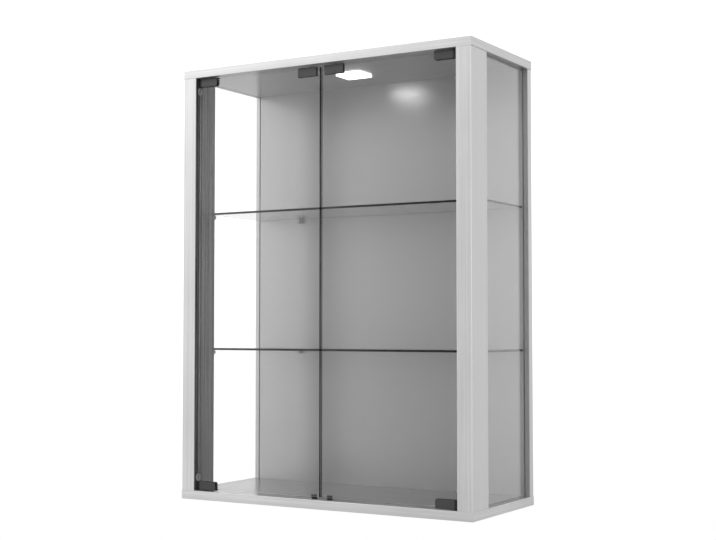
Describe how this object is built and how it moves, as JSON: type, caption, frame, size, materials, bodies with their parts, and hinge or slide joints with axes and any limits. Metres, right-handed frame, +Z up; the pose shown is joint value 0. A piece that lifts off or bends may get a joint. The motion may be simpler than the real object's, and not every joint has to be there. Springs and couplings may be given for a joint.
{
  "type": "wall display cabinet",
  "caption": "Wall-hung display cabinet with board top, bottom, back and front posts, glass sides, glass shelves, frameless pivoting glass doors, push latch and ceiling lamp.",
  "frame": {"origin": "midway between the two keyhole hanger entry holes, on the rear plane that meets the wall", "axes": "+Z up, +Y into the wall, +X to the right seen from the front; the doors face -Y"},
  "size_m": [0.6, 0.25, 0.8],
  "materials": {
    "silver_board": "silver-grey laminate with a fine brushed-aluminium texture",
    "back_board": "semi-gloss silver-grey laminate",
    "clear_glass": "clear float glass with ground, dark edges",
    "black_metal": "satin black lacquer",
    "zinc_steel": "bright zinc plating",
    "black_steel": "black oxide",
    "pale_plastic": "pale grey moulded plastic",
    "bush_plastic": "dark self-lubricating plastic",
    "clear_plastic": "milky soft plastic",
    "dark_rubber": "matt rubber",
    "beech": "fluted beech",
    "lamp_metal": "plain aluminium",
    "lamp_opal": "opal, lit from inside",
    "light_board": "white lacquered board with light chips"
  },
  "bodies": {
    "cabinet": {"top_panel": "silver_board", "bottom_panel": "silver_board", "back_panel": "back_board", "latch_body": "pale_plastic", "latch_screws": "zinc_steel", "lamp_base": "lamp_metal", "lamp_diffuser": "lamp_opal", "lamp_light_board": "light_board", "lamp_screws": "zinc_steel", "lamp_cable_grommet": "dark_rubber", "cam_bolts": "zinc_steel", "cam_locks": "zinc_steel", "carcass_dowels": "beech", "wall_hanger_screws": "zinc_steel", "upper_shelf": "clear_glass", "lower_shelf": "clear_glass", "upper_shelf_pins": "zinc_steel", "lower_shelf_pins": "zinc_steel", "upper_shelf_sleeves": "clear_plastic", "lower_shelf_sleeves": "clear_plastic", "upper_hinge_bushes": "bush_plastic", "lower_hinge_bushes": "bush_plastic", "left_front_post": "silver_board", "right_front_post": "silver_board", "left_side_glass": "clear_glass", "right_side_glass": "clear_glass", "left_door_stop": "dark_rubber", "right_door_stop": "dark_rubber", "left_wall_hanger": "zinc_steel", "right_wall_hanger": "zinc_steel", "left_latch_spring": "zinc_steel", "right_latch_spring": "zinc_steel"},
    "left_door": {"left_door_glass": "clear_glass", "left_upper_hinge_clamp": "black_metal", "left_lower_hinge_clamp": "black_metal", "left_upper_hinge_pin": "zinc_steel", "left_lower_hinge_pin": "zinc_steel", "left_hinge_pads": "dark_rubber", "left_hinge_grub_screws": "black_steel", "left_strike_plate": "black_metal"},
    "right_door": {"right_door_glass": "clear_glass", "right_upper_hinge_clamp": "black_metal", "right_lower_hinge_clamp": "black_metal", "right_upper_hinge_pin": "zinc_steel", "right_lower_hinge_pin": "zinc_steel", "right_hinge_pads": "dark_rubber", "right_hinge_grub_screws": "black_steel", "right_strike_plate": "black_metal"},
    "left_plunger": {"left_latch_plunger": "pale_plastic", "left_latch_magnet": "zinc_steel"},
    "right_plunger": {"right_latch_plunger": "pale_plastic", "right_latch_magnet": "zinc_steel"}
  },
  "joints": [
    {"name": "left_door_hinge", "type": "hinge", "parent": "cabinet", "child": "left_door", "pos_m": [-0.259, -0.2396, 0], "axis": [0, 0, -1], "range_deg": [0, 110]},
    {"name": "right_door_hinge", "type": "hinge", "parent": "cabinet", "child": "right_door", "pos_m": [0.259, -0.2396, 0], "axis": [0, 0, 1], "range_deg": [0, 110]},
    {"name": "left_plunger_slide", "type": "slide", "parent": "cabinet", "child": "left_plunger", "axis": [0, -1, 0], "range_m": [0, 0.012], "deforming": ["left_latch_spring"]},
    {"name": "right_plunger_slide", "type": "slide", "parent": "cabinet", "child": "right_plunger", "axis": [0, -1, 0], "range_m": [0, 0.012], "deforming": ["right_latch_spring"]}
  ],
  "couplings": [
    {"joint": "left_plunger_slide", "follows": "left_door_hinge", "m_per_rad": 0.00625},
    {"joint": "right_plunger_slide", "follows": "right_door_hinge", "m_per_rad": 0.00625}
  ]
}
